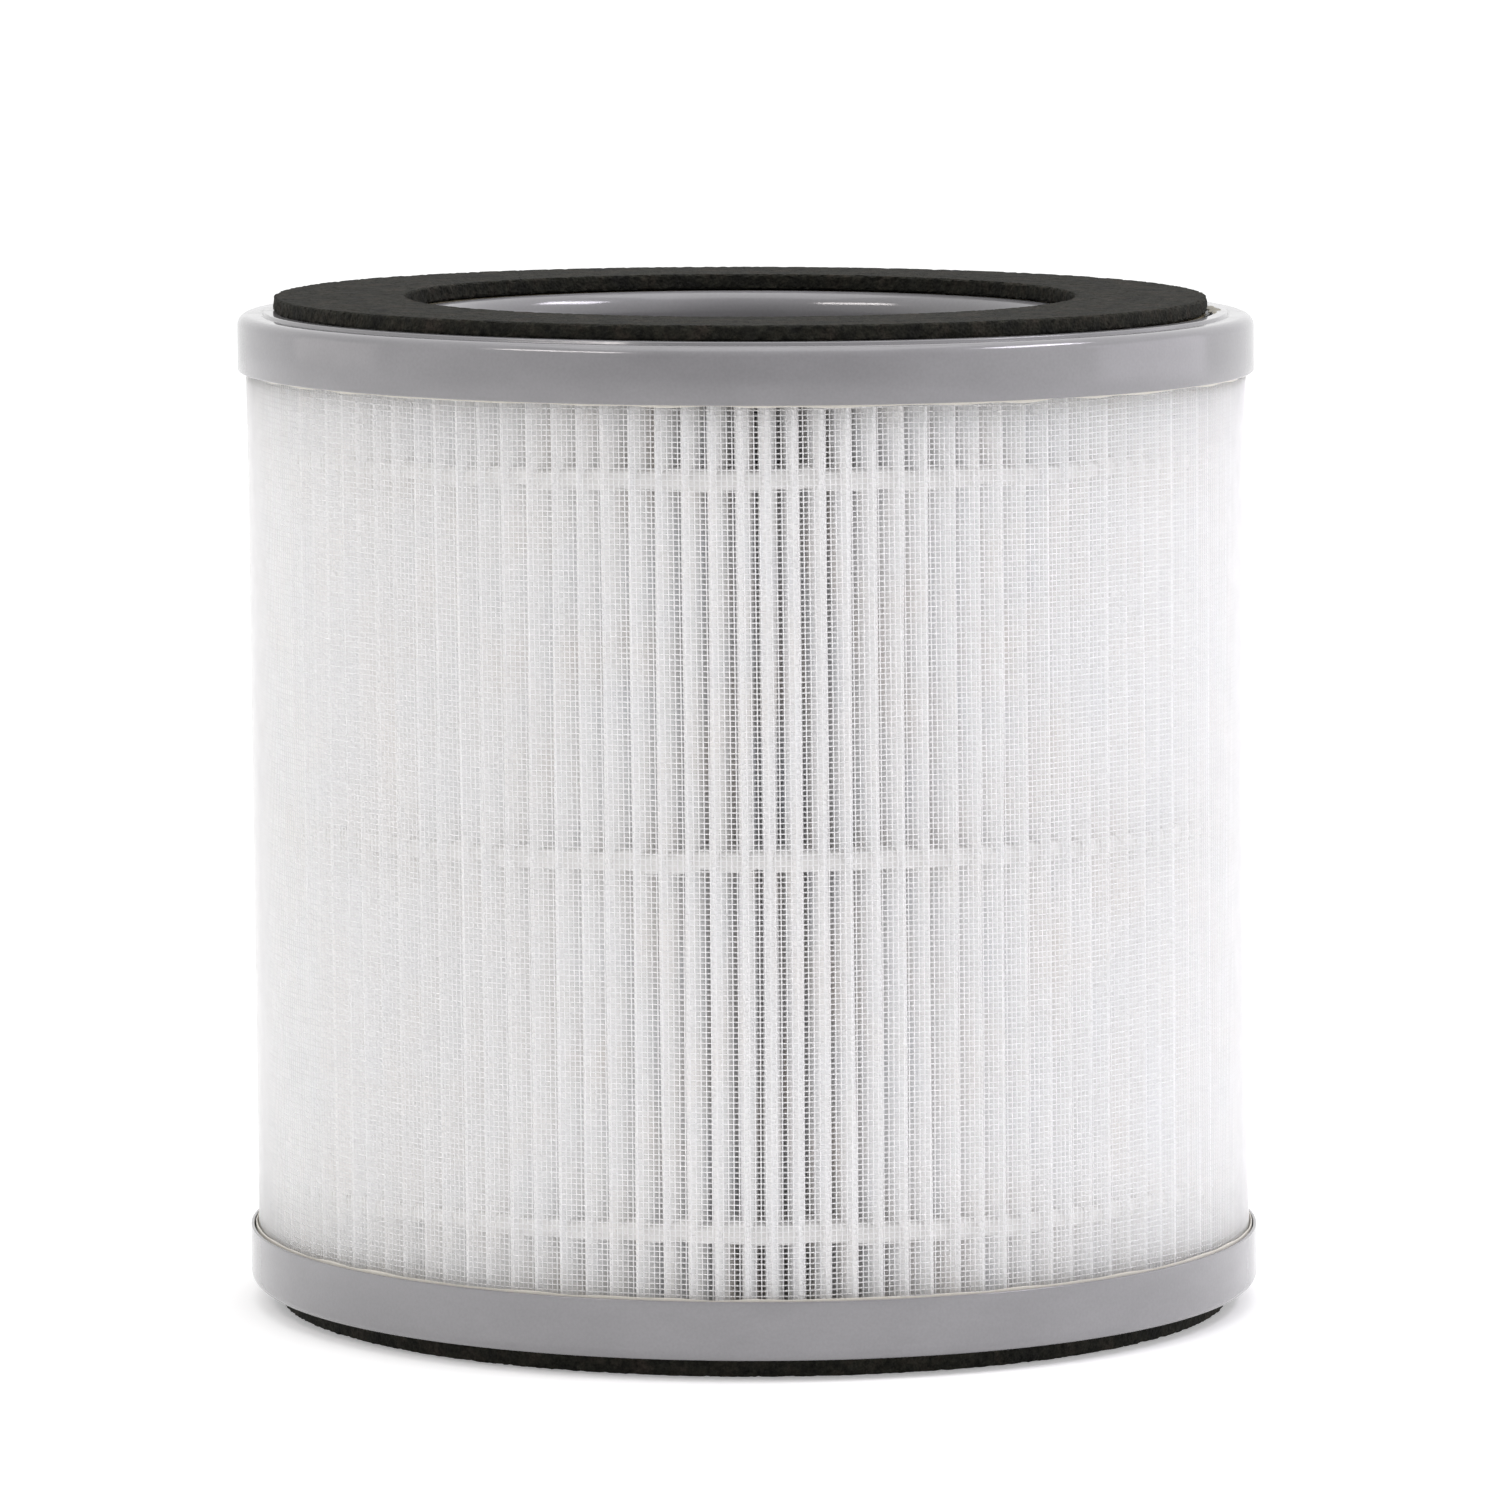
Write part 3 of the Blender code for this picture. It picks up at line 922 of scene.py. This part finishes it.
def make_core(material):
    """Lattice tube: its windows have round corners, and its ribs are slightly rounded."""
    node = "core_grid"
    inner, outer = radii(node)
    low, high = heights(node)
    pitch_angle = TURN / CORE_COLUMNS
    pitch_z = (high - low - CORE_RIB) / CORE_ROWS
    half_w = (pitch_angle - CORE_RIB / outer) / 2
    half_h = (pitch_z - CORE_RIB) / 2
    window = rounded_rectangle(half_w * outer, half_h, 2.0 * MM)
    cell = rounded_rectangle(pitch_angle / 2 * outer, pitch_z / 2, 0.0)
    # Each loop of a cell: whether it follows the window, how much it grows, its radius.
    bevel = 0.3 * MM
    loops = [
        (True, 0.0, outer - bevel),
        (True, bevel, outer),
        (False, 0.0, outer),
        (False, 0.0, inner),
        (True, bevel, inner),
        (True, 0.0, inner + bevel),
    ]
    count = len(window)
    points, faces, base = [], [], 0
    for column in range(CORE_COLUMNS):
        for row in range(CORE_ROWS):
            centre_angle = (column + 0.5) * pitch_angle
            centre_z = low + CORE_RIB / 2 + (row + 0.5) * pitch_z
            for on_window, grow, radius in loops:
                flat = window * (1 + grow / half_h) if on_window else cell
                angle = centre_angle + flat[:, 0] / outer
                points.append(about_axis(radius, angle, centre_z + flat[:, 1]))
            for first, second in ((0, 1), (1, 2), (3, 4), (4, 5), (5, 0)):
                faces.append(band_faces(base + first * count, base + second * count, count))
            base += len(loops) * count
    points, faces = np.concatenate(points), np.concatenate(faces)
    points, faces = with_end_rings(points, faces, inner, outer, low, high)
    piece = add_piece("core_lattice", points, faces, material, [node])
    weld(piece)


def rounded_rectangle(half_w, half_h, rounding):
    """A loop of points round a rectangle, spaced alike for every rounding."""
    side = np.linspace(-1, 1, CELL_SIDE_STEPS + 1)[:-1]
    square = np.concatenate(
        [
            np.stack([side, -np.ones_like(side)], axis=-1),
            np.stack([np.ones_like(side), side], axis=-1),
            np.stack([-side, np.ones_like(side)], axis=-1),
            np.stack([-np.ones_like(side), -side], axis=-1),
        ]
    )
    loop = square * (half_w, half_h)
    if rounding:
        core = np.array([half_w - rounding, half_h - rounding])
        held = np.clip(loop, -core, core)
        away = loop - held
        length = np.linalg.norm(away, axis=1, keepdims=True)
        both = (np.abs(away) > 1e-9).all(axis=1, keepdims=True)
        loop = np.where(both, held + away / np.maximum(length, 1e-9) * rounding, loop)
    return loop


def with_end_rings(points, faces, inner, outer, low, high):
    """Close the lattice's two ends with plain rings that meet its outermost cells."""
    base = len(points)
    sides = CORE_COLUMNS * CELL_SIDE_STEPS
    angle = np.arange(sides) * TURN / sides
    band = CORE_RIB / 2
    extra = []
    for near, far in ((low + band, low), (high - band, high)):
        for radius, z in ((outer, near), (outer, far), (inner, far), (inner, near)):
            extra.append(about_axis(radius, angle, z))
    added = []
    for end in (0, 4):
        for loop in range(end, end + 3):
            first = base + loop * sides
            quads = band_faces(first, first + sides, sides)
            added.append(quads if end == 0 else quads[:, ::-1])
    return np.concatenate([points, *extra]), np.concatenate([faces, *added])


def weld(piece):
    """Join the points that neighbouring cells share, and face everything outwards."""
    work = bmesh.new()
    work.from_mesh(piece.data)
    bmesh.ops.remove_doubles(work, verts=work.verts, dist=0.01 * MM)
    bmesh.ops.recalc_face_normals(work, faces=work.faces)
    work.to_mesh(piece.data)
    work.free()
    piece.data.shade_smooth()
    piece.data.set_sharp_from_angle(angle=math.radians(40))


def make_carbon(material):
    """Bed of granules: a closed ring whose inner face, seen through the core, is lumpy."""
    node = "carbon_bed"
    inner, outer = radii(node)
    low, high = heights(node)
    around, levels = 330, 150
    angle = np.arange(around) * TURN / around
    z = np.linspace(low, high, levels)
    granule = 1.9 * MM
    lumps = np.zeros((around, levels))
    for i in range(around):
        x, y = inner * math.cos(angle[i]), inner * math.sin(angle[i])
        for k in range(levels):
            lumps[i, k] = noise.voronoi(Vector((x, y, z[k])) / granule)[0][0]
    lumps = lumps.clip(0, 1) * 0.9 * MM
    r_in = inner + lumps
    r_out = np.full_like(r_in, outer)
    loop = np.concatenate([r_in, r_out[:, ::-1]], axis=1)
    points = about_axis(loop, angle[:, None], np.concatenate([z, z[::-1]]))
    faces = grid_faces(around, 2 * levels, True)
    add_piece("carbon_layer", points, faces, material, [node], 70.0)


# ---------------------------------------------------------------- studio


def make_floor(material):
    """A round pale table top under the cartridge."""
    rings = (0.2, 0.6, 1.2, 2.0)
    sides = 64
    points = [(0.0, 0.0, 0.0)]
    for radius in rings:
        for side in range(sides):
            angle = TURN * side / sides
            points.append((radius * math.cos(angle), radius * math.sin(angle), 0.0))
    faces = [(0, 1 + s, 1 + (s + 1) % sides) for s in range(sides)]
    for ring in range(len(rings) - 1):
        start = 1 + ring * sides
        for s in range(sides):
            t = (s + 1) % sides
            faces.append((start + s, start + sides + s, start + sides + t, start + t))
    mesh = bpy.data.meshes.new("studio_floor")
    mesh.from_pydata(points, [], faces)
    mesh.materials.append(material)
    floor = bpy.data.objects.new("studio_floor", mesh)
    bpy.context.scene.collection.objects.link(floor)


def make_softbox(name, azimuth, elevation, distance, size, strength, colour=(1, 1, 1)):
    """A rectangular light that faces the cartridge; azimuth 0 is where the camera is."""
    turn, lift = math.radians(azimuth), math.radians(elevation)
    back = Vector(
        (
            math.sin(turn) * math.cos(lift),
            -math.cos(turn) * math.cos(lift),
            math.sin(lift),
        )
    )
    light = bpy.data.lights.new(name, "AREA")
    light.shape = "RECTANGLE"
    light.size, light.size_y = size
    light.energy = strength
    light.color = colour
    lamp = bpy.data.objects.new(name, light)
    lamp.location = Vector((0.0, 0.0, 0.09)) + back * distance
    lamp.rotation_mode = "QUATERNION"
    lamp.rotation_quaternion = back.to_track_quat("Z", "Y")
    lamp.visible_camera = False
    bpy.context.scene.collection.objects.link(lamp)
    return lamp


def make_world():
    """White surroundings: dimmer on the camera's side, brighter on the right and behind."""
    world = bpy.data.worlds.new("studio")
    world.use_nodes = True
    nodes, links = world.node_tree.nodes, world.node_tree.links
    light = nodes["Background"]
    light.inputs["Color"].default_value = (1.0, 1.0, 1.0, 1.0)
    direction = nodes.new("ShaderNodeTexCoord").outputs["Generated"]
    strength = None
    even_strength = 0.92
    # A direction, and the change in strength towards it.
    changes = (
        ((1.0, 0.0, 0.0), 0.30),
        ((0.0, -1.0, 0.0), -0.66),
        ((0.0, 1.0, 0.0), 0.20),
    )
    for axis, change in changes:
        towards = nodes.new("ShaderNodeVectorMath")
        towards.operation = "DOT_PRODUCT"
        towards.inputs[1].default_value = axis
        links.new(direction, towards.inputs[0])
        facing = nodes.new("ShaderNodeMath")
        facing.operation = "MAXIMUM"
        facing.inputs[1].default_value = 0.0
        links.new(towards.outputs["Value"], facing.inputs[0])
        squared = nodes.new("ShaderNodeMath")
        squared.operation = "POWER"
        squared.inputs[1].default_value = 2.0
        links.new(facing.outputs[0], squared.inputs[0])
        added = nodes.new("ShaderNodeMath")
        added.operation = "MULTIPLY_ADD"
        added.inputs[1].default_value = change
        added.inputs[2].default_value = even_strength
        links.new(squared.outputs[0], added.inputs[0])
        if strength:
            links.new(strength, added.inputs[2])
        strength = added.outputs[0]
    links.new(strength, light.inputs["Strength"])
    bpy.context.scene.world = world


def make_camera():
    """Long lens a little above the cartridge, looking slightly down at it."""
    data = bpy.data.cameras.new("camera")
    data.sensor_width = 36.0
    data.lens = CAMERA_LENS
    data.clip_start, data.clip_end = 0.05, 50.0
    camera = bpy.data.objects.new("camera", data)
    camera.location = (0.0, -CAMERA_DISTANCE, CAMERA_HEIGHT)
    camera.rotation_euler = (math.radians(90.0 - CAMERA_PITCH), 0.0, 0.0)
    bpy.context.scene.collection.objects.link(camera)
    bpy.context.scene.camera = camera


def make_studio():
    """Table, surroundings, and softboxes: warm on the left, cool on the right."""
    make_floor(studio_floor())
    make_world()
    warm, cool = (1.0, 0.94, 0.93), (0.94, 0.89, 1.0)
    panel_right = make_softbox("panel_right", 104.0, 10.0, 1.5, (1.1, 0.7), 1.6, cool)
    panel_left = make_softbox("panel_left", -104.0, 10.0, 1.5, (0.8, 0.6), 0.7, warm)
    make_softbox("key_right", 87.0, 49.0, 1.4, (0.56, 0.21), 4.6, cool)
    make_softbox("key_left", -48.0, 42.0, 1.4, (0.62, 0.16), 3.2, warm)
    fill = make_softbox("fill_right", 50.0, 6.0, 1.5, (0.8, 0.6), 1.4, cool)
    make_softbox("overhead", 180.0, 89.0, 1.8, (1.5, 1.5), 6.5)
    # The panels only add sheen to the caps, and the fill adds none.
    panel_right.visible_diffuse = False
    panel_left.visible_diffuse = False
    fill.visible_glossy = False
    scene = bpy.context.scene
    scene.view_settings.view_transform = "Standard"
    scene.cycles.max_bounces = 48
    scene.cycles.diffuse_bounces = 40


# ---------------------------------------------------------------- everything together


def main():
    """The studio, then every piece of the cartridge."""
    make_camera()
    make_studio()
    plastic = cap_plastic()
    foam = gasket_foam()
    tape = adhesive_tape()
    glue = hot_melt("hot_melt_beads", (0.81, 0.805, 0.795))
    potting = hot_melt("hot_melt_potting", (0.70, 0.67, 0.60))
    paper = filter_paper()
    white = net_thread("white_net", (0.87, 0.87, 0.875), 0.5)
    black = net_thread("black_net", (0.035, 0.035, 0.038), 0.5)
    for place in ("bottom", "top"):
        make_end_cap(place, plastic)
        make_gasket(place, foam)
        make_tape(place, tape)
        make_potting(place, potting)
    make_paper(paper)
    make_media_seam(paper)
    for side in ("outer", "inner"):
        for place in ("upper", "middle", "lower"):
            make_bead(side, place, glue)
    tips = pleat_layout()[0]
    make_net("outer_net", "outer_net_sleeve", NET_THREAD, tips, white, 0.2 * MM, 91)
    make_net_seam(white)
    even = np.arange(120) * TURN / 120
    for place in ("inner", "outer"):
        node = f"carbon_{place}_net"
        name = f"{node}_threads"
        make_net(name, node, CARBON_NET_THREAD, even, black, 0.1 * MM, 95)
    make_carbon(carbon_granules())
    make_core(core_plastic())


main()
